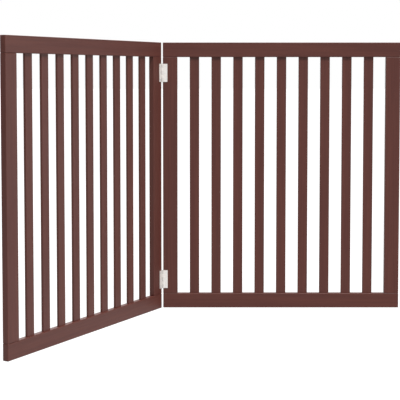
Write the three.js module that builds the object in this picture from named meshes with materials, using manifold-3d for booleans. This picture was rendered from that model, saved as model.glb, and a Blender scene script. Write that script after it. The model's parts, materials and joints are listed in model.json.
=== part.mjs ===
// A free-standing folding pet gate: two slatted wooden panels of one pattern, joined by two butt hinges.
// Millimetres, +Z up. The gate stands on z = 0, with the origin under the middle of its bounding box.
// The right panel runs along X, and the left one is swung round towards -Y.

import * as THREE from 'three';
import { RoundedBoxGeometry } from 'three/addons/geometries/RoundedBoxGeometry.js';
import { mergeVertices } from 'three/addons/utils/BufferGeometryUtils.js';
import Module from 'manifold-3d';

const wasm = await Module();
wasm.setup();

// ---- Driving dimensions ----

const PANEL = { width: 800, height: 900, thickness: 19 };
const BOARD = { width: 49, edgeRadius: 2 };
const SLAT = { count: 9, width: 32, thickness: 8, edgeRadius: 1.5, tenon: 12 };
const DOWEL = { radius: 4, length: 40, spacing: 24, chamfer: 1, sides: 12 };
const HINGE = {
  centreHeights: { lower: 98, upper: 798 },
  height: 61,
  reach: 17.1, // from the pin's axis to a leaf's outer edge
  leafThickness: 1.2,
  knuckleRadius: 2.7,
  knuckles: 5, // the left leaf has the first, third and fifth
  knuckleGap: 0.6, // between one leaf's knuckles and the other's
  pinRadius: 1.25,
  pinHead: { radius: 1.9, height: 0.5 },
  axisToFace: 2, // how far the axis stands in front of the boards' faces
  sides: 16,
};
const SCREW = {
  headRadius: 2.9,
  shankRadius: 1.4,
  headHeight: 1.6,
  length: 15,
  point: 3,
  heights: [-22, 0, 22], // from the hinge's middle
  insets: [11.8, 8.6, 11.8], // from the pin's axis, staggered
  sides: 12,
};
const PANEL_GAP = 3.6; // between the hinge stiles when the panels are in line
const FOLD = THREE.MathUtils.degToRad(60); // how far the left panel is swung from in line
const FIT_GAP = 0.3; // between pieces that touch
const OVERCUT = 2; // how far a cutter stands out of the face that it enters

// ---- Materials ----

const PAINTED_WOOD = new THREE.MeshStandardMaterial({ color: 0x5e3b36, roughness: 0.55, metalness: 0 });
const BARE_WOOD = new THREE.MeshStandardMaterial({ color: 0xc9a878, roughness: 0.8, metalness: 0 });
const ZINC = new THREE.MeshStandardMaterial({ color: 0xd4d5d8, roughness: 0.35, metalness: 0.9 });
const PIN_STEEL = new THREE.MeshStandardMaterial({ color: 0x6e6f72, roughness: 0.45, metalness: 1 });
const SCREW_STEEL = new THREE.MeshStandardMaterial({ color: 0xc2c4c8, roughness: 0.3, metalness: 1 });

// ---- Solids and meshes ----

/** The closed solid of a three.js geometry, with its seams and its poles' empty triangles gone. */
function solidOf(geometry) {
  const bare = geometry.clone();
  bare.deleteAttribute('normal');
  bare.deleteAttribute('uv');
  const merged = mergeVertices(bare, 1e-5);
  const corners = [];
  for (let i = 0; i < merged.index.count; i += 3) {
    const [a, b, c] = [0, 1, 2].map((k) => merged.index.getX(i + k));
    if (a !== b && b !== c && c !== a) corners.push(a, b, c);
  }
  return new wasm.Manifold(new wasm.Mesh({
    numProp: 3,
    vertProperties: new Float32Array(merged.attributes.position.array),
    triVerts: new Uint32Array(corners),
  }));
}

/** The solid with every cutter taken away from it. */
function cut(solid, cutters) {
  return cutters.reduce((rest, cutter) => rest.subtract(cutter), solid);
}

/** A named mesh of a solid. */
function meshOf(name, solid, material) {
  const { vertProperties, triVerts } = solid.getMesh();
  const geometry = new THREE.BufferGeometry();
  geometry.setAttribute('position', new THREE.BufferAttribute(vertProperties, 3));
  geometry.setIndex(new THREE.BufferAttribute(triVerts, 1));
  geometry.computeVertexNormals();
  const mesh = new THREE.Mesh(geometry, material);
  mesh.name = name;
  return mesh;
}

/** A board with rounded edges, of a given size about a given centre. */
function board(size, centre, edgeRadius) {
  return solidOf(new RoundedBoxGeometry(...size, 1, edgeRadius).translate(...centre));
}

/** A square-edged block, for cutting a mortise or a notch. */
function block(size, centre) {
  return solidOf(new THREE.BoxGeometry(...size).translate(...centre));
}

/** A solid turned about Z from [radius, height] pairs that start and end on the axis. */
function turned(profile, sides) {
  const points = profile.map(([radius, height]) => new THREE.Vector2(radius, height));
  return solidOf(new THREE.LatheGeometry(points, sides).rotateX(Math.PI / 2));
}

/** A plain cylinder along Z, from one height to another. */
function rod(radius, bottom, top, sides) {
  return turned([[0, bottom], [radius, bottom], [radius, top], [0, top]], sides);
}

// ---- Panels ----
// A panel's own frame: x from its middle, y = 0 on the face that the hinges are screwed to, z = 0 at its foot.

const MID_Y = PANEL.thickness / 2;
const STILE_X = (PANEL.width - BOARD.width) / 2;
const RAIL_Z = { bottom: BOARD.width / 2, top: PANEL.height - BOARD.width / 2 };
const JOINT_Z = { bottom: BOARD.width, top: PANEL.height - BOARD.width };
const INWARDS = { bottom: 1, top: -1 }; // from a rail towards the slats
const STILE_LENGTH = PANEL.height - 2 * (BOARD.width + FIT_GAP);
const SLAT_LENGTH = PANEL.height - 2 * (BOARD.width - SLAT.tenon);
const SLAT_GAP = (PANEL.width - 2 * BOARD.width - SLAT.count * SLAT.width) / (SLAT.count + 1);
const SLAT_XS = Array.from({ length: SLAT.count }, (_, i) => (
  (i - (SLAT.count - 1) / 2) * (SLAT.width + SLAT_GAP)
));
const ENDS = ['bottom', 'top'];

/** Where the dowels of the stile at a given x stand. */
function dowelXs(stileX) {
  return [stileX - DOWEL.spacing / 2, stileX + DOWEL.spacing / 2];
}

/** The hole that half a dowel and a little room need, on both sides of a joint. */
function dowelHole(x, end) {
  const reach = DOWEL.length / 2 + FIT_GAP;
  return rod(DOWEL.radius + FIT_GAP, -reach, reach, DOWEL.sides).translate([x, MID_Y, JOINT_Z[end]]);
}

/** A slat's mortise in the rail at one end. */
function mortise(x, end) {
  const depth = SLAT.tenon + FIT_GAP;
  const size = [SLAT.width + 2 * FIT_GAP, SLAT.thickness + 2 * FIT_GAP, depth + OVERCUT];
  const middle = JOINT_Z[end] + INWARDS[end] * (OVERCUT - depth) / 2;
  return block(size, [x, MID_Y, middle]);
}

function rail(end) {
  const plain = board(
    [PANEL.width, PANEL.thickness, BOARD.width], [0, MID_Y, RAIL_Z[end]], BOARD.edgeRadius,
  );
  return cut(plain, [
    ...SLAT_XS.map((x) => mortise(x, end)),
    ...[-STILE_X, STILE_X].flatMap(dowelXs).map((x) => dowelHole(x, end)),
  ]);
}

function stile(x) {
  const plain = board(
    [BOARD.width, PANEL.thickness, STILE_LENGTH], [x, MID_Y, PANEL.height / 2], BOARD.edgeRadius,
  );
  return cut(plain, ENDS.flatMap((end) => dowelXs(x).map((dowelX) => dowelHole(dowelX, end))));
}

function slat(x) {
  return board(
    [SLAT.width, SLAT.thickness, SLAT_LENGTH], [x, MID_Y, PANEL.height / 2], SLAT.edgeRadius,
  );
}

function dowel(x, end) {
  const half = DOWEL.length / 2;
  const tip = DOWEL.radius - DOWEL.chamfer;
  const profile = [
    [0, -half], [tip, -half], [DOWEL.radius, DOWEL.chamfer - half],
    [DOWEL.radius, half - DOWEL.chamfer], [tip, half], [0, half],
  ];
  return turned(profile, DOWEL.sides).translate([x, MID_Y, JOINT_Z[end]]);
}

/** One panel's boards and dowels. hingeSide is 1 where the hinges are at its +x edge, and -1 at its -x edge. */
function panel(side, hingeSide) {
  const group = new THREE.Group();
  const add = (name, solid, material) => group.add(meshOf(`${side}_${name}`, solid, material));
  const stiles = { hinge: hingeSide * STILE_X, outer: -hingeSide * STILE_X };

  for (const end of ENDS) add(`${end}_rail`, rail(end), PAINTED_WOOD);
  for (const [place, x] of Object.entries(stiles)) {
    const holes = hingeSide * x > 0 ? pilotHoles(hingeSide) : [];
    add(`${place}_stile`, cut(stile(x), holes), PAINTED_WOOD);
    for (const end of ENDS) {
      dowelXs(x).forEach((dowelX, i) => add(`${end}_${place}_dowel_${i + 1}`, dowel(dowelX, end), BARE_WOOD));
    }
  }
  SLAT_XS.forEach((x, i) => add(`slat_${i + 1}`, slat(x), PAINTED_WOOD));
  return group;
}

// ---- Hinges ----
// A hinge's own frame: the pin along Z with its middle at the origin, the boards' faces at y = axisToFace.
// A leaf reaches to +x, and the left one is turned end for end. The barrel is alike from both ends.

const AXIS_TO_PANEL_MIDDLE = (PANEL_GAP + PANEL.width) / 2;
const LEAF_BACK = HINGE.axisToFace - FIT_GAP;
const LEAF_FRONT = LEAF_BACK - HINGE.leafThickness;
const HALF_HINGE = HINGE.height / 2;
const BORE_RADIUS = HINGE.pinRadius + FIT_GAP;
const NOTCH_REACH = HINGE.knuckleRadius + FIT_GAP;
const KNUCKLE_LENGTH = (HINGE.height - (HINGE.knuckles - 1) * HINGE.knuckleGap) / HINGE.knuckles;
const KNUCKLES = Array.from({ length: HINGE.knuckles }, (_, i) => {
  const bottom = i * (KNUCKLE_LENGTH + HINGE.knuckleGap) - HALF_HINGE;
  return { side: i % 2 === 0 ? 'left' : 'right', bottom, top: bottom + KNUCKLE_LENGTH };
});
const SCREW_PLACES = SCREW.heights.map((height, i) => ({ x: SCREW.insets[i], z: height }));

/** A screw's shape about Y, from its flush head into the wood, grown by room on every side. */
function screwShape(room) {
  const tip = LEAF_FRONT + SCREW.length + room;
  const [head, shank] = [SCREW.headRadius + room, SCREW.shankRadius + room];
  return turned([
    [0, LEAF_FRONT - room], [head, LEAF_FRONT - room], [head, LEAF_FRONT],
    [shank, LEAF_FRONT + SCREW.headHeight], [shank, tip - SCREW.point], [0, tip],
  ], SCREW.sides).rotate([-90, 0, 0]);
}

/** The holes that both hinges' screws need in a hinge stile, in its panel's frame. */
function pilotHoles(hingeSide) {
  const hole = screwShape(FIT_GAP);
  return Object.values(HINGE.centreHeights).flatMap((height) => SCREW_PLACES.map(({ x, z }) => (
    hole.translate([
      hingeSide * (AXIS_TO_PANEL_MIDDLE - x), -HINGE.axisToFace, height + (hingeSide > 0 ? -z : z),
    ])
  )));
}

function leaf(side) {
  const plate = block(
    [HINGE.reach, HINGE.leafThickness, HINGE.height], [HINGE.reach / 2, (LEAF_FRONT + LEAF_BACK) / 2, 0],
  );
  const own = KNUCKLES.filter((knuckle) => knuckle.side === side);
  const other = KNUCKLES.filter((knuckle) => knuckle.side !== side);
  const joined = own.reduce((whole, { bottom, top }) => (
    whole.add(rod(HINGE.knuckleRadius, bottom, top, HINGE.sides))
  ), cut(plate, other.map(notch)));
  return cut(joined, [
    rod(BORE_RADIUS, -HINGE.height, HINGE.height, HINGE.sides),
    ...SCREW_PLACES.map(({ x, z }) => screwShape(FIT_GAP).translate([x, 0, z])),
  ]);
}

/** The room in a leaf's plate for one of the other leaf's knuckles. */
function notch({ bottom, top }) {
  const height = KNUCKLE_LENGTH + 2 * HINGE.knuckleGap;
  return block([2 * NOTCH_REACH, 4 * HINGE.knuckleRadius, height], [0, 0, (bottom + top) / 2]);
}

/** The pin, with a low peened head over each end of the barrel. */
function pin() {
  const { radius, height } = HINGE.pinHead;
  const neck = HALF_HINGE + FIT_GAP;
  return turned([
    [0, -neck - height], [radius, -neck - height], [radius, -neck], [HINGE.pinRadius, -neck],
    [HINGE.pinRadius, neck], [radius, neck], [radius, neck + height], [0, neck + height],
  ], HINGE.sides);
}

/** One side of one hinge: its leaf and screws. */
function hingeSideGroup(place, side) {
  const group = new THREE.Group();
  group.add(meshOf(`${place}_hinge_${side}_leaf`, leaf(side), ZINC));
  SCREW_PLACES.forEach(({ x, z }, i) => {
    const screw = meshOf(`${place}_hinge_${side}_screw_${i + 1}`, screwShape(0), SCREW_STEEL);
    screw.position.set(x, 0, z);
    group.add(screw);
  });
  group.position.z = HINGE.centreHeights[place];
  if (side === 'left') group.rotation.y = Math.PI;
  return group;
}

// ---- Assembly about the hinges' axis ----

/** A panel with its sides of both hinges, where it is when the two panels are in line. */
function hungPanel(side) {
  const group = new THREE.Group();
  const hingeSide = side === 'left' ? 1 : -1;
  const boards = panel(side, hingeSide);
  boards.position.set(-hingeSide * AXIS_TO_PANEL_MIDDLE, HINGE.axisToFace, 0);
  group.add(boards);
  for (const place of Object.keys(HINGE.centreHeights)) group.add(hingeSideGroup(place, side));
  return group;
}

const gate = new THREE.Group();
const leftPanel = hungPanel('left');
leftPanel.rotation.z = FOLD;
gate.add(hungPanel('right'), leftPanel);
for (const [place, height] of Object.entries(HINGE.centreHeights)) {
  const hingePin = meshOf(`${place}_hinge_pin`, pin(), PIN_STEEL);
  hingePin.position.z = height;
  gate.add(hingePin);
}

const middle = new THREE.Box3().setFromObject(gate, true).getCenter(new THREE.Vector3());
gate.position.set(-middle.x, -middle.y, 0);

export default gate;
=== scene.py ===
"""The looks of a folding pet gate: painted boards, rolled butt hinges and a plain white studio.

Lengths are in metres, and the model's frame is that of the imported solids. Each panel also has its own axes:
u along it, to the right as the face with the hinges is seen, v from that face to the back, and w up.
"""

import itertools
import json
import math

import bmesh
import bpy
from mathutils import Matrix, Vector

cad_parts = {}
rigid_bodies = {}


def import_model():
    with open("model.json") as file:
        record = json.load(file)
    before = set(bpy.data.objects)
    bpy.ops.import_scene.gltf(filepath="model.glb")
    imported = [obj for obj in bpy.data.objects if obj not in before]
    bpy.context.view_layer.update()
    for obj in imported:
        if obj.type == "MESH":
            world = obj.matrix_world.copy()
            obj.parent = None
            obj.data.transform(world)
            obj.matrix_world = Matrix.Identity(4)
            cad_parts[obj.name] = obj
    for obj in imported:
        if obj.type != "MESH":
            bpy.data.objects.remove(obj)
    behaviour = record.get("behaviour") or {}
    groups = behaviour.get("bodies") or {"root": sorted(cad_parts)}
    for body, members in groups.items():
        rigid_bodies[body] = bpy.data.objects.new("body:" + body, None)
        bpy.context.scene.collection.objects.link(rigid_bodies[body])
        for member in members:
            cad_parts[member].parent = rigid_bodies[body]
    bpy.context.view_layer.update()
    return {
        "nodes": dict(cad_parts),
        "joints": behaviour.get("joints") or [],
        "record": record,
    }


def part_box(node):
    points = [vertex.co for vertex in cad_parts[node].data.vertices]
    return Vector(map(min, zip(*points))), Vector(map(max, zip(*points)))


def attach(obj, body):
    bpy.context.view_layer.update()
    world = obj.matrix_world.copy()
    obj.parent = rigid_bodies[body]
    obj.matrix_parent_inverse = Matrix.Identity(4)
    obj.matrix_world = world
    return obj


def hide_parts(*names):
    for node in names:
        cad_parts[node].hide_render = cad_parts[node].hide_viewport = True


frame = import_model()

MM = 0.001
SIDES = ("right", "left")
ENDS = ("bottom", "top")
STILES = ("hinge", "outer")
HINGES = ("lower", "upper")
FOLD = frame["joints"][0]
AXIS = Vector(FOLD["pos_m"])

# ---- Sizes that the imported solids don't carry ----

BOARD_RADIUS = 2.0 * MM  # the eased edges of rails and stiles
SLAT_RADIUS = 1.5 * MM
EDGE_STEPS = 4  # facets in a quarter turn of an eased edge
FIT_GAP = 0.3 * MM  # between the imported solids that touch, and round dowels and screws
GLUE_LINE = 0.03 * MM  # what is left of that gap between a stile's end and its rail
MORTISE_ROOM = 0.12 * MM  # on every side of a slat's tenon
HOLE_SEGMENTS = 24  # round a dowel's or a screw's hole in a board

DOWEL_FLUTES = 14
POINTS_PER_FLUTE = 4
FLUTE_DEPTH = 0.35 * MM
DOWEL_CHAMFER = 1.0 * MM
DOWEL_SHARP_ANGLE = 25  # degrees, less than usual so that the flutes stay crisp

LEAF_CORNER = 1.6 * MM  # the radius of its rounded corners
LEAF_CORNER_STEPS = 6
LEAF_SOFTENING = 0.15 * MM  # the width of the bevel on its sharp edges
KNUCKLE_RADIUS = 2.65 * MM
KNUCKLES = 5  # the left leaf has the first, third and fifth
KNUCKLE_GAP = 0.6 * MM
TONGUE_START = 3.0 * MM  # how far from the pin a leaf's plate ends and its knuckles' tongues begin
ROLL_START, ROLL_END = 65, 345  # where a knuckle's round part begins and ends, in degrees round the pin
ROLL_STEPS = 32
BEND_STEPS = 8  # in the curve from the tongue into the roll
TONGUE_PULL, ROLL_PULL = 1.1 * MM, 1.0 * MM  # how far that curve's handles reach from its two ends
PIN_RADIUS = 1.25 * MM
PIN_HEAD_HEIGHT = 0.5 * MM
PIN_HEAD_RIM = 0.15 * MM  # the upright part of that height, below the dome
PIN_DOME_STEPS = 6
PIN_SEGMENTS = 24

SCREW_HEAD_RADIUS = 2.9 * MM
SCREW_HEAD_HEIGHT = 1.6 * MM
SCREW_HEAD_RIM = 0.12 * MM  # the nearly upright part of that height
SCREW_SHANK_RADIUS = 1.4 * MM
SCREW_SEGMENTS = 28
SCREW_TIP = 3.0 * MM  # the length without thread down to the point
SCREW_TURN = 37  # degrees from one screw's slots to the next one's
THREAD_ROOT = 0.95 * MM
THREAD_PITCH = 1.1 * MM
THREAD_RUN_IN = 1.0 * MM  # plain shank between the head and the thread
THREAD_SHAPE = (  # one turn from below: radius, and distance below its top as a part of the pitch
    (THREAD_ROOT, 0.7), (SCREW_SHANK_RADIUS, 0.45), (SCREW_SHANK_RADIUS, 0.35), (THREAD_ROOT, 0.1),
)
RECESS_DEPTH = 1.1 * MM
RECESS_WIDTH = 0.55 * MM
RECESS_ARM = 1.75 * MM
RECESS_ABOVE = 0.5 * MM  # how far its cutters stand out of the head
RECESS_TAPER = 0.35  # an arm's length at the bottom, as a part of its length at the top
COUNTERSINK_ROOM = 0.12 * MM  # round a screw's head
COUNTERSINK_LAND = 0.1 * MM  # the least straight hole that is left below the slope
COUNTERSINK_PROUD = 1.0 * MM  # how far its cutter stands out on each side of the leaf
COUNTERSINK_SEGMENTS = 32

SAME_POINT = 0.001 * MM  # points that are nearer than this become one
GRAIN_STEP = Vector((0.37, 0.83, 1.91))  # from one seed's piece of wood or steel to the next


# ---- Panels' axes and the frame's sizes in them ----

def mount_axis(name):
    return Vector(next(m["axis"] for m in frame["record"]["mounts"] if m["name"] == name))


def panel_axes(side):
    """The matrix whose columns are a panel's u, v and w."""
    outwards = mount_axis(f"{side}_end").normalized()
    u = outwards if side == "right" else -outwards
    w = Vector((0, 0, 1))
    return Matrix((u, w.cross(u), w)).transposed()


AXES = {side: panel_axes(side) for side in SIDES}


def reach(node, side):
    """(lowest, highest) corner of a CAD node along its panel's axes."""
    to_panel = AXES[side].transposed()
    points = [to_panel @ v.co for v in frame["nodes"][node].data.vertices]
    low, high = (Vector([pick(p[i] for p in points) for i in range(3)]) for pick in (min, max))
    return low, high


# ---- Mesh helpers ----

def object_of(bm, name):
    """A new object from a bmesh, which is freed."""
    mesh = bpy.data.meshes.new(name)
    bm.normal_update()
    bm.to_mesh(mesh)
    bm.free()
    made = bpy.data.objects.new(name, mesh)
    bpy.context.scene.collection.objects.link(made)
    return made


def arc(centre, radius, start, end, steps):
    """Points on a circle, from one angle to another, in degrees."""
    angles = [math.radians(start + (end - start) * i / steps) for i in range(steps + 1)]
    return [Vector((centre[0] + radius * math.cos(a), centre[1] + radius * math.sin(a))) for a in angles]


def bridge(bm, rings, close_ends=True):
    """Quads between rings of vertices, and a face over each end."""
    for low, high in zip(rings, rings[1:]):
        for i in range(len(low)):
            j = (i + 1) % len(low)
            bm.faces.new((low[i], low[j], high[j], high[i]))
    if close_ends:
        bm.faces.new(list(reversed(rings[0])))
        bm.faces.new(rings[-1])


def rounded_bar(width, thickness, length, radius):
    """A bar along z with every edge and corner eased, as a bmesh about the origin."""
    bm = bmesh.new()
    core = Vector((width / 2 - radius, thickness / 2 - radius, length / 2 - radius))
    quarter = [90 * i / EDGE_STEPS for i in range(EDGE_STEPS + 1)]
    levels = [(-core.z, -90 + tilt) for tilt in quarter] + [(core.z, tilt) for tilt in quarter]
    rings = []
    for base, tilt in levels:
        z = base + radius * math.sin(math.radians(tilt))
        small = radius * math.cos(math.radians(tilt))
        ring = []
        for turn, (sx, sy) in enumerate(((1, 1), (-1, 1), (-1, -1), (1, -1))):
            centre = (sx * core.x, sy * core.y)
            ring += arc(centre, small, 90 * turn, 90 * turn + 90, EDGE_STEPS)
        rings.append([bm.verts.new((p.x, p.y, z)) for p in ring])
    bridge(bm, rings)
    bmesh.ops.remove_doubles(bm, verts=bm.verts, dist=SAME_POINT)
    bmesh.ops.dissolve_degenerate(bm, edges=bm.edges, dist=SAME_POINT)
    return bm


def turned(profile, segments):
    """A solid turned about z from (radius, height) pairs that start and end on the axis."""
    bm = bmesh.new()
    rings = []
    for radius, height in profile[1:-1]:
        angles = [2 * math.pi * i / segments for i in range(segments)]
        rings.append([bm.verts.new((radius * math.cos(a), radius * math.sin(a), height)) for a in angles])
    bridge(bm, rings, close_ends=False)
    foot, tip = (bm.verts.new((0, 0, height)) for _, height in (profile[0], profile[-1]))
    for i in range(segments):
        j = (i + 1) % segments
        bm.faces.new((foot, rings[0][j], rings[0][i]))
        bm.faces.new((tip, rings[-1][i], rings[-1][j]))
    return bm


def block(low, high):
    """A square-edged cutter."""
    bm = bmesh.new()
    bmesh.ops.create_cube(bm, size=1)
    size, middle = high - low, (high + low) / 2
    bm.transform(Matrix.Translation(middle) @ Matrix.Diagonal((*size, 1)))
    return bm


def joined(parts):
    """One bmesh of several separate ones."""
    whole = bmesh.new()
    for part in parts:
        mesh = bpy.data.meshes.new("part")
        part.to_mesh(mesh)
        part.free()
        whole.from_mesh(mesh)
        bpy.data.meshes.remove(mesh)
    return whole


def cut(piece, cutters):
    """Takes the cutters out of a piece's mesh for good."""
    tool = object_of(joined(cutters), "cutter")
    change = piece.modifiers.new("cut", "BOOLEAN")
    change.operation = "DIFFERENCE"
    change.solver = "EXACT"
    change.object = tool
    evaluated = piece.evaluated_get(bpy.context.evaluated_depsgraph_get())
    mesh = bpy.data.meshes.new_from_object(evaluated)
    bm = bmesh.new()
    bm.from_mesh(mesh)
    bmesh.ops.remove_doubles(bm, verts=bm.verts, dist=SAME_POINT)
    bm.to_mesh(mesh)
    bm.free()
    piece.modifiers.clear()
    piece.data = mesh
    bpy.data.objects.remove(tool)


def smooth(piece, sharp_angle=40):
    """Smooth shading across edges below an angle in degrees, with flat faces kept flat."""
    piece.data.shade_smooth()
    piece.data.set_sharp_from_angle(angle=math.radians(sharp_angle))
    weigh = piece.modifiers.new("flat_faces", "WEIGHTED_NORMAL")
    weigh.keep_sharp = True


def store_grain(piece, seed):
    """Keeps each point's place in its piece as an attribute, so that a board's grain follows the board."""
    shift = GRAIN_STEP * seed
    attribute = piece.data.attributes.new("grain", "FLOAT_VECTOR", "POINT")
    attribute.data.foreach_set("vector", [c for v in piece.data.vertices for c in v.co + shift])


def settle(piece, place, body, slot, material, *nodes):
    """Moves a piece's mesh to its place in the model and onto its body, gives it its material, and hides the
    CAD nodes it stands in for.
    """
    piece.data.transform(place)
    piece.data.materials.clear()
    piece.data.materials.append(material)
    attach(piece, body)
    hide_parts(*nodes)


# ---- Materials ----

class Shader:
    """A Principled material and short ways to add nodes to it."""

    def __init__(self, name, **sockets):
        self.material = bpy.data.materials.new(name)
        self.material.use_nodes = True
        self.nodes = self.material.node_tree.nodes
        self.links = self.material.node_tree.links
        self.surface = self.nodes["Principled BSDF"]
        for socket, value in sockets.items():
            self.surface.inputs[socket.replace("_", " ")].default_value = value

    def add(self, kind, inputs=None, **settings):
        node = self.nodes.new(kind)
        for key, value in settings.items():
            setattr(node, key, value)
        for socket, value in (inputs or {}).items():
            if isinstance(value, bpy.types.NodeSocket):
                self.links.new(value, node.inputs[socket])
            else:
                node.inputs[socket].default_value = value
        return node

    def grain(self):
        """The stored place in the board, or in the piece."""
        return self.add("ShaderNodeAttribute", attribute_name="grain").outputs["Vector"]

    def noise(self, place, stretch, detail=4.0, roughness=0.55, distortion=0.0):
        """Noise whose features are 1 / stretch metres across along each axis."""
        scaled = self.add("ShaderNodeVectorMath", {0: place, 1: stretch}, operation="MULTIPLY")
        inputs = {"Vector": scaled.outputs[0], "Scale": 1.0, "Detail": detail,
                  "Roughness": roughness, "Distortion": distortion}
        return self.add("ShaderNodeTexNoise", inputs).outputs["Fac"]

    def ranged(self, value, low, high, to_low, to_high):
        inputs = {"Value": value, "From Min": low, "From Max": high, "To Min": to_low, "To Max": to_high}
        return self.add("ShaderNodeMapRange", inputs).outputs["Result"]

    def blend(self, factor, first, second):
        node = self.add("ShaderNodeMix", data_type="RGBA")
        self.links.new(factor, node.inputs["Factor"])
        for socket, value in (("A", first), ("B", second)):
            target = next(i for i in node.inputs if i.name == socket and i.type == "RGBA")
            if isinstance(value, bpy.types.NodeSocket):
                self.links.new(value, target)
            else:
                target.default_value = (*value, 1)
        return next(o for o in node.outputs if o.type == "RGBA")

    def bump(self, height, depth, strength=1.0, under=None):
        inputs = {"Height": height, "Distance": depth, "Strength": strength}
        if under is not None:
            inputs["Normal"] = under
        return self.add("ShaderNodeBump", inputs).outputs["Normal"]

    def drive(self, socket, value):
        self.links.new(value, self.surface.inputs[socket])


def painted_wood():
    """Satin reddish-brown paint, thin enough for the wood's grain to show through it."""
    shader = Shader("painted_wood", IOR=1.38)
    place = shader.grain()
    bands = shader.noise(place, (34, 34, 1.6), detail=3, distortion=0.6)
    streaks = shader.noise(place, (170, 170, 3.5), detail=4, distortion=0.3)
    fibres = shader.noise(place, (950, 950, 16), detail=5, roughness=0.6)
    pores = shader.noise(place, (2600, 2600, 70), detail=2)
    peel = shader.noise(place, (420, 420, 420), detail=2)
    deep, mid, warm = (0.0700, 0.0185, 0.0135), (0.0880, 0.0238, 0.0175), (0.1040, 0.0296, 0.0208)
    broad = shader.blend(shader.ranged(bands, 0.35, 0.65, 0, 1), mid, warm)
    streaked = shader.blend(shader.ranged(streaks, 0.38, 0.56, 0.45, 0), broad, deep)
    colour = shader.blend(shader.ranged(fibres, 0.30, 0.52, 0.55, 0), streaked, deep)
    shader.drive("Base Color", colour)
    shader.drive("Roughness", shader.ranged(fibres, 0.3, 0.7, 0.50, 0.40))
    skin = shader.bump(peel, 0.02 * MM)
    grain = shader.bump(fibres, 0.10 * MM, under=skin)
    shader.drive("Normal", shader.bump(shader.ranged(pores, 0.62, 0.72, 1, 0), 0.04 * MM, under=grain))
    return shader.material


def bare_wood():
    """Turned beech, for the dowels inside the joints."""
    shader = Shader("bare_wood")
    place = shader.grain()
    rings = shader.noise(place, (600, 600, 30), detail=3)
    flecks = shader.noise(place, (1500, 1500, 220), detail=2)
    pale = shader.blend(rings, (0.56, 0.38, 0.20), (0.66, 0.47, 0.27))
    flecked = shader.blend(shader.ranged(flecks, 0.6, 0.7, 0, 0.6), pale, (0.35, 0.21, 0.10))
    shader.drive("Base Color", flecked)
    shader.drive("Roughness", shader.ranged(rings, 0.3, 0.7, 0.75, 0.62))
    shader.drive("Normal", shader.bump(rings, 0.08 * MM))
    return shader.material


def steel(name, tint, roughness, metallic):
    """Drawn or zinc-plated steel, with faint drawing lines and a slightly cloudy sheen."""
    shader = Shader(name, Metallic=metallic)
    place = shader.grain()
    cloud = shader.noise(place, (260, 260, 260), detail=4)
    lines = shader.noise(place, (900, 900, 40), detail=3)
    shade = tuple(c * 0.90 for c in tint)
    shader.drive("Base Color", shader.blend(shader.ranged(cloud, 0.3, 0.7, 0, 1), shade, tint))
    shader.drive("Roughness", shader.ranged(cloud, 0.3, 0.7, roughness + 0.07, roughness - 0.05))
    shader.drive("Normal", shader.bump(lines, 0.012 * MM))
    return shader.material


PAINT = painted_wood()
BEECH = bare_wood()
ZINC = steel("zinc_plate", (0.85, 0.81, 0.775), 0.38, 0.6)
SCREW_ZINC = steel("screw_steel", (0.80, 0.79, 0.77), 0.32, 0.7)
# The pin is dark drawn steel, and its darkness is partly painted shade: it deepens the dark of the gaps
# between the knuckles.
PIN_STEEL = steel("pin_steel", (0.155, 0.153, 0.15), 0.45, 0.9)


# ---- Boards ----

# A bar's z becomes a rail's u. An upright's stays w.
LYING = Matrix(((0, 0, 1), (0, 1, 0), (-1, 0, 0))).to_4x4()
UPRIGHT = Matrix.Identity(4)


def grown(low, high, room):
    """A box with room added on every side."""
    extra = Vector((room, room, room))
    return low - extra, high + extra


def rod_cutter(low, high, radius, along):
    """A round cutter that fills a box's length along one axis, 'v' or 'w'."""
    middle = (low + high) / 2
    index = {"v": 1, "w": 2}[along]
    half = (high[index] - low[index]) / 2
    bm = turned([(0, -half), (radius, -half), (radius, half), (0, half)], HOLE_SEGMENTS)
    if along == "v":
        bm.transform(Matrix.Rotation(math.radians(-90), 4, "X"))
    bm.transform(Matrix.Translation(middle))
    return bm


def dowel_names(side, end=None, stile=None):
    ends = (end,) if end else ENDS
    stiles = (stile,) if stile else STILES
    return [f"{side}_{e}_{s}_dowel_{i}" for e in ends for s in stiles for i in (1, 2)]


def slat_names(side):
    return sorted(n for n in frame["nodes"] if n.startswith(f"{side}_slat_"))


def screw_names(side):
    return sorted(n for n in frame["nodes"] if f"_hinge_{side}_screw_" in n)


def dowel_holes(names, side):
    cutters = []
    for name in names:
        low, high = grown(*reach(name, side), FIT_GAP)
        cutters.append(rod_cutter(low, high, (high.x - low.x) / 2, "w"))
    return cutters


def mortises(side):
    return [block(*grown(*reach(name, side), MORTISE_ROOM)) for name in slat_names(side)]


def pilot_holes(side):
    cutters = []
    for name in screw_names(side):
        low, high = grown(*reach(name, side), FIT_GAP)
        cutters.append(rod_cutter(low, high, SCREW_SHANK_RADIUS + FIT_GAP, "v"))
    return cutters


def board(node, side, radius, lie, cutters, seed):
    """One painted board in place of its CAD node."""
    low, high = reach(node, side)
    size, middle = high - low, (high + low) / 2
    width, length = (size.z, size.x) if lie is LYING else (size.x, size.z)
    if node.endswith("_stile"):  # its CAD node stops short of the rails
        length += 2 * (FIT_GAP - GLUE_LINE)
    piece = object_of(rounded_bar(width, size.y, length, radius), f"{node}_board")
    place = Matrix.Translation(middle) @ lie
    if cutters:
        piece.data.transform(place)
        cut(piece, cutters)
        piece.data.transform(place.inverted())
    store_grain(piece, seed)
    smooth(piece)
    settle(piece, AXES[side].to_4x4() @ place, f"{side}_panel", "painted_wood", PAINT, node)


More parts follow.
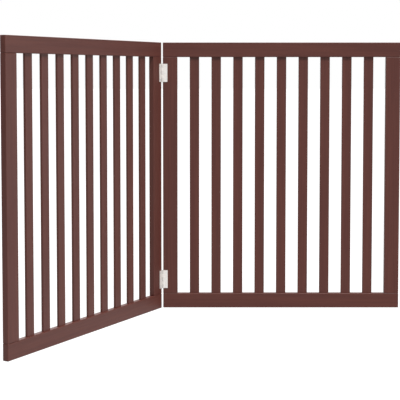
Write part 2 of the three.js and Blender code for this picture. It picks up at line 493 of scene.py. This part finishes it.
def dowel(node, side, seed):
    """A fluted dowel with chamfered ends."""
    low, high = reach(node, side)
    radius, half = (high.x - low.x) / 2, (high.z - low.z) / 2
    inner = half - DOWEL_CHAMFER
    points = DOWEL_FLUTES * POINTS_PER_FLUTE
    bm = bmesh.new()
    rings = []
    for height, chamfer in ((-half, DOWEL_CHAMFER), (-inner, 0), (inner, 0), (half, DOWEL_CHAMFER)):
        ring = []
        for i in range(points):
            angle = 2 * math.pi * i / points
            dip = FLUTE_DEPTH * (i % POINTS_PER_FLUTE == 0)
            reached = radius - chamfer - dip
            ring.append(bm.verts.new((reached * math.cos(angle), reached * math.sin(angle), height)))
        rings.append(ring)
    bridge(bm, rings)
    piece = object_of(bm, f"{node}_peg")
    store_grain(piece, seed)
    smooth(piece, DOWEL_SHARP_ANGLE)
    place = Matrix.Translation((low + high) / 2)
    settle(piece, AXES[side].to_4x4() @ place, f"{side}_panel", "bare_wood", BEECH, node)


def build_panel(side, first_seed):
    """A panel's thirteen boards and eight dowels."""
    seeds = itertools.count(first_seed)
    for end in ENDS:
        cutters = mortises(side) + dowel_holes(dowel_names(side, end=end), side)
        board(f"{side}_{end}_rail", side, BOARD_RADIUS, LYING, cutters, next(seeds))
    for stile in STILES:
        cutters = dowel_holes(dowel_names(side, stile=stile), side)
        if stile == "hinge":
            cutters += pilot_holes(side)
        board(f"{side}_{stile}_stile", side, BOARD_RADIUS, UPRIGHT, cutters, next(seeds))
    for name in slat_names(side):
        board(name, side, SLAT_RADIUS, UPRIGHT, [], next(seeds))
    for name in dowel_names(side):
        dowel(name, side, next(seeds))


# ---- Hinges ----
# A leaf's own frame: z along the pin, x from the pin to the outer edge, y from the front to the board.

def leaf_place(hinge, side):
    """From a leaf's own frame to the model's. The left leaf is turned end for end."""
    low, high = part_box(f"{hinge}_hinge_pin")
    centre = Vector((AXIS.x, AXIS.y, (low.z + high.z) / 2))
    turn = Matrix.Rotation(math.pi if side == "left" else 0, 4, "Y")
    return Matrix.Translation(centre) @ AXES[side].to_4x4() @ turn


def knuckle_section(front, back):
    """The outline of a rolled knuckle and its tongue, from the plate's edge round the pin."""
    half = (back - front) / 2
    radius = KNUCKLE_RADIUS - half
    turn = math.radians(ROLL_START)
    start = Vector((TONGUE_START, (front + back) / 2))
    landing = radius * Vector((math.cos(turn), math.sin(turn)))
    heading = Vector((-math.sin(turn), math.cos(turn)))
    bend = (start, start - Vector((TONGUE_PULL, 0)), landing - heading * ROLL_PULL, landing)
    line = []
    for i in range(BEND_STEPS):
        t = i / BEND_STEPS
        weights = ((1 - t) ** 3, 3 * t * (1 - t) ** 2, 3 * t * t * (1 - t), t ** 3)
        line.append(sum((w * p for w, p in zip(weights, bend)), Vector((0, 0))))
    line += arc((0, 0), radius, ROLL_START, ROLL_END, ROLL_STEPS)
    outer, inner = [], []
    for i, point in enumerate(line):
        ahead = line[min(i + 1, len(line) - 1)] - line[max(i - 1, 0)]
        side = Vector((ahead.y, -ahead.x)).normalized() * half if i else Vector((0, half))
        outer.append(point + side)
        inner.append(point - side)
    return outer + list(reversed(inner))


def knuckle_spans(side, height):
    """(bottom, top) of each of a leaf's own knuckles, from the hinge's middle, to the nearest nanometre."""
    length = (height - (KNUCKLES - 1) * KNUCKLE_GAP) / KNUCKLES
    first = 0 if side == "left" else 1
    bottoms = [i * (length + KNUCKLE_GAP) - height / 2 for i in range(first, KNUCKLES, 2)]
    return [(round(bottom, 9), round(bottom + length, 9)) for bottom in bottoms]


def leaf_mesh(reach_x, front, back, height, side):
    """A leaf: a plate with its rolled knuckles, all one skin."""
    half = round(height / 2, 9)
    own = knuckle_spans(side, height)
    section = knuckle_section(front, back)
    bm = bmesh.new()

    def add(x, y, z):
        return bm.verts.new((x, y, z))

    for low, high in own:
        rings = [[add(p.x, p.y, z) for p in section] for z in (low, high)]
        for i in range(len(section) - 1):
            bm.faces.new((rings[0][i], rings[0][i + 1], rings[1][i + 1], rings[1][i]))
        pairs = len(section) // 2
        for ring in rings:
            for i in range(pairs - 1):
                bm.faces.new((ring[i], ring[i + 1], ring[-2 - i], ring[-1 - i]))

    levels = sorted({-half, half, *(z for span in own for z in span)}, reverse=True)
    centre_x = reach_x - LEAF_CORNER
    corner_low = arc((centre_x, -half + LEAF_CORNER), LEAF_CORNER, -90, 0, LEAF_CORNER_STEPS)
    corner_high = arc((centre_x, half - LEAF_CORNER), LEAF_CORNER, 0, 90, LEAF_CORNER_STEPS)
    outline = corner_low + corner_high + [Vector((TONGUE_START, z)) for z in levels]
    faces = {y: [add(p.x, y, p.y) for p in outline] for y in (front, back)}
    bm.faces.new(faces[front])
    bm.faces.new(list(reversed(faces[back])))
    count = len(outline)
    inner = count - len(levels)
    tongues = {inner + levels.index(top) for _, top in own}  # where the plate runs on into its knuckles
    for i in range(count):
        if i not in tongues:
            j = (i + 1) % count
            bm.faces.new((faces[front][i], faces[front][j], faces[back][j], faces[back][i]))
    bmesh.ops.remove_doubles(bm, verts=bm.verts, dist=SAME_POINT)
    bmesh.ops.recalc_face_normals(bm, faces=bm.faces)
    return bm


def countersink(front, back):
    """The cutter of one screw's hole through a leaf, about y."""
    head, shank = SCREW_HEAD_RADIUS + COUNTERSINK_ROOM, SCREW_SHANK_RADIUS + FIT_GAP
    slope_end = front + SCREW_HEAD_HEIGHT * (head - shank) / (SCREW_HEAD_RADIUS - SCREW_SHANK_RADIUS)
    slope_end = min(slope_end, back - COUNTERSINK_LAND)
    outside, inside = front - COUNTERSINK_PROUD, back + COUNTERSINK_PROUD
    profile = [(0, outside), (head, outside), (head, front)]
    profile += [(shank, slope_end), (shank, inside), (0, inside)]
    bm = turned(profile, COUNTERSINK_SEGMENTS)
    bm.transform(Matrix.Rotation(math.radians(-90), 4, "X"))
    return bm


def build_leaf(hinge, side, seed):
    """A leaf in place of its CAD node, with its screws' holes. Its size is read from the node."""
    node = f"{hinge}_hinge_{side}_leaf"
    to_model = leaf_place(hinge, side)
    to_leaf = to_model.inverted()
    points = [to_leaf @ v.co for v in frame["nodes"][node].data.vertices]
    reach_x = max(p.x for p in points)
    at_edge = [p.y for p in points if p.x > reach_x - SAME_POINT]
    front, back = min(at_edge), max(at_edge)
    height = max(p.z for p in points) - min(p.z for p in points)
    piece = object_of(leaf_mesh(reach_x, front, back, height, side), f"{node}_plate")
    soften = piece.modifiers.new("soft_edges", "BEVEL")
    soften.width = LEAF_SOFTENING
    soften.segments = 2
    soften.limit_method = "ANGLE"
    soften.angle_limit = math.radians(50)
    holes = []
    for name in screw_names(side):
        if name.startswith(hinge):
            low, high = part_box(name)
            spot = to_leaf @ ((low + high) / 2)
            hole = countersink(front, back)
            hole.transform(Matrix.Translation((spot.x, 0, spot.z)))
            holes.append(hole)
    cut(piece, holes)
    store_grain(piece, seed)
    smooth(piece)
    settle(piece, to_model, f"{side}_panel", "zinc_plate", ZINC, node)


def build_pin(hinge, seed):
    """The pin, with a low dome peened over each end of the barrel."""
    node = f"{hinge}_hinge_pin"
    low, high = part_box(node)
    half, head = (high.z - low.z) / 2, (high.x - low.x) / 2
    neck = half - PIN_HEAD_HEIGHT
    rim = neck + PIN_HEAD_RIM
    angles = [math.radians(90 * i / PIN_DOME_STEPS) for i in range(PIN_DOME_STEPS)]
    dome = [(head * math.cos(a), rim + (half - rim) * math.sin(a)) for a in angles]
    upper = [(PIN_RADIUS, neck), (head, neck), *dome, (0, half)]
    lower = [(radius, -height) for radius, height in reversed(upper)]
    piece = object_of(turned(lower + upper, PIN_SEGMENTS), f"{node}_rod")
    store_grain(piece, seed)
    smooth(piece)
    settle(piece, Matrix.Translation((low + high) / 2), FOLD["parent"], "pin_steel", PIN_STEEL, node)


def cross_recess():
    """The two cutters of a cross-slot drive, open above z = 0 and narrower towards the bottom."""
    arms = []
    for turn in (0, 90):
        low = Vector((-RECESS_ARM, -RECESS_WIDTH / 2, -RECESS_DEPTH))
        bm = block(low, Vector((RECESS_ARM, RECESS_WIDTH / 2, RECESS_ABOVE)))
        for vert in bm.verts:
            if vert.co.z < 0:
                vert.co.x *= RECESS_TAPER
        bm.transform(Matrix.Rotation(math.radians(turn), 4, "Z"))
        arms.append(bm)
    return arms


def screw_profile(length):
    """(radius, height) pairs of a screw, from its point up to its head's face at z = 0."""
    shank = SCREW_SHANK_RADIUS
    thread_top, thread_bottom = -SCREW_HEAD_HEIGHT - THREAD_RUN_IN, -length + SCREW_TIP
    turns = int((thread_top - thread_bottom) / THREAD_PITCH)
    profile = [(0, -length), (THREAD_ROOT * 0.5, -length + SCREW_TIP * 0.45)]
    for i in reversed(range(turns)):
        z = thread_top - i * THREAD_PITCH
        profile += [(radius, z - THREAD_PITCH * below) for radius, below in THREAD_SHAPE]
    profile += [(shank, thread_top + 0.2 * MM), (shank, -SCREW_HEAD_HEIGHT)]
    low_rim, top_rim = SCREW_HEAD_RADIUS - 0.08 * MM, SCREW_HEAD_RADIUS - 0.05 * MM
    return profile + [(low_rim, -SCREW_HEAD_RIM), (top_rim, 0), (0, 0)]


def build_screw(node, side, seed):
    """A countersunk wood screw with cross slots and a thread of rings."""
    low, high = reach(node, side)
    piece = object_of(turned(screw_profile(high.y - low.y), SCREW_SEGMENTS), f"{node}_fastener")
    for cutter in cross_recess():
        cut(piece, [cutter])
    store_grain(piece, seed)
    smooth(piece)
    middle = (low + high) / 2
    face_outwards = Matrix.Rotation(math.radians(90), 4, "X")  # a screw's +z comes out of the panel's face
    spin = Matrix.Rotation(math.radians(SCREW_TURN * seed), 4, "Z")
    place = Matrix.Translation((middle.x, low.y, middle.z)) @ face_outwards @ spin
    settle(piece, AXES[side].to_4x4() @ place, f"{side}_panel", "screw_steel", SCREW_ZINC, node)


# ---- Studio ----

CAMERA_BACK = 3.6235  # in front of the hinges' axis
CAMERA_RIGHT = 0.1269  # to the right of that axis
CAMERA_HEIGHT = 0.7898  # above the floor
CAMERA_TILT = 3.018  # degrees down
CAMERA_LENS, CAMERA_SENSOR = 96.79, 36.0  # in millimetres
CAMERA_SHIFT = -0.17  # as a part of the picture's width
FLOOR_RADIUS = 60.0
# How strongly the floor glows to the camera, in mirrored rays and in diffuse ones.
FLOOR_SEEN, FLOOR_MIRRORED, FLOOR_LIGHTING = 0.96, 0.83, 0.22


def add_camera():
    data = bpy.data.cameras.new("camera")
    data.lens = CAMERA_LENS
    data.sensor_width = CAMERA_SENSOR
    data.shift_y = CAMERA_SHIFT
    camera = bpy.data.objects.new("camera", data)
    camera.location = (AXIS.x + CAMERA_RIGHT, AXIS.y - CAMERA_BACK, CAMERA_HEIGHT)
    camera.rotation_euler = (math.radians(90 - CAMERA_TILT), 0, 0)
    bpy.context.scene.collection.objects.link(camera)
    bpy.context.scene.camera = camera


def add_softbox(name, place, target, size, power):
    data = bpy.data.lights.new(name, "AREA")
    data.shape = "RECTANGLE"
    data.size, data.size_y = size
    data.energy = power
    light = bpy.data.objects.new(name, data)
    light.location = place
    light.rotation_euler = (Vector(target) - Vector(place)).to_track_quat("-Z", "Y").to_euler()
    bpy.context.scene.collection.objects.link(light)


def add_distant_key(elevation, azimuth, spread, strength):
    """A soft light from far off, as bright at the floor as at the top. Angles are in degrees."""
    data = bpy.data.lights.new("key", "SUN")
    data.angle = math.radians(spread)
    data.energy = strength
    light = bpy.data.objects.new("key", data)
    light.rotation_euler = (math.radians(90 - elevation), 0, math.radians(azimuth))
    bpy.context.scene.collection.objects.link(light)


def add_world(seen, lighting):
    """White behind the object, and a dimmer white that lights it."""
    world = bpy.data.worlds.new("studio")
    world.use_nodes = True
    nodes, links = world.node_tree.nodes, world.node_tree.links
    background = nodes["Background"]
    background.inputs["Color"].default_value = (1, 1, 1, 1)
    rays = nodes.new("ShaderNodeLightPath")
    strength = nodes.new("ShaderNodeMapRange")
    strength.inputs["To Min"].default_value = lighting
    strength.inputs["To Max"].default_value = seen
    links.new(rays.outputs["Is Camera Ray"], strength.inputs["Value"])
    links.new(strength.outputs["Result"], background.inputs["Strength"])
    bpy.context.scene.world = world


def add_floor():
    """A pale floor that looks white out to the horizon, and throws little light up at the object."""
    bm = bmesh.new()
    bmesh.ops.create_circle(bm, cap_ends=True, radius=FLOOR_RADIUS, segments=64)
    floor = object_of(bm, "floor")
    shader = Shader("floor_white", Base_Color=(0.15, 0.15, 0.15, 1), Roughness=0.9)
    shader.surface.inputs["Emission Color"].default_value = (1, 1, 1, 1)
    shader.surface.inputs["Specular IOR Level"].default_value = 0.1
    rays = shader.add("ShaderNodeLightPath").outputs
    unseen = shader.ranged(rays["Is Diffuse Ray"], 0, 1, FLOOR_MIRRORED, FLOOR_LIGHTING)
    shader.drive("Emission Strength", shader.ranged(rays["Is Camera Ray"], 0, 1, unseen, FLOOR_SEEN))
    floor.data.materials.append(shader.material)


def light_studio():
    add_world(seen=1.0, lighting=0.30)
    add_distant_key(elevation=60, azimuth=32, spread=12, strength=3.44)
    add_softbox("side", (3.4, 0.1, 0.5), (AXIS.x, 0, 0.45), (2.4, 2.2), power=36)
    add_softbox("top", (0.0, 0.2, 3.2), (0, 0.2, 0), (3.0, 2.0), power=60)
    add_softbox("front", (0.3, -5.0, 1.5), (AXIS.x, AXIS.y, 0.5), (3.0, 2.4), power=18)
    add_softbox("back", (-2.2, 4.3, 2.0), (-0.1, 0, 0.4), (4.0, 3.0), power=64)
    bpy.context.scene.view_settings.view_transform = "Standard"


# ---- Assembly ----

# A piece's seed moves its grain, and turns a screw's slots. A panel's boards and dowels count up from one
# seed, and its screws from another.
BOARD_SEEDS = {"right": 1, "left": 41}
SCREW_SEEDS = {"right": 1, "left": 13}
LEAF_SEEDS = {("lower", "right"): 3, ("upper", "right"): 13, ("lower", "left"): 4, ("upper", "left"): 14}
PIN_SEEDS = {"lower": 5, "upper": 6}


def build_gate():
    for side in SIDES:
        build_panel(side, BOARD_SEEDS[side])
        for hinge in HINGES:
            build_leaf(hinge, side, LEAF_SEEDS[hinge, side])
        for seed, name in enumerate(screw_names(side), start=SCREW_SEEDS[side]):
            build_screw(name, side, seed)
    for hinge in HINGES:
        build_pin(hinge, PIN_SEEDS[hinge])


add_camera()
add_floor()
light_studio()
build_gate()
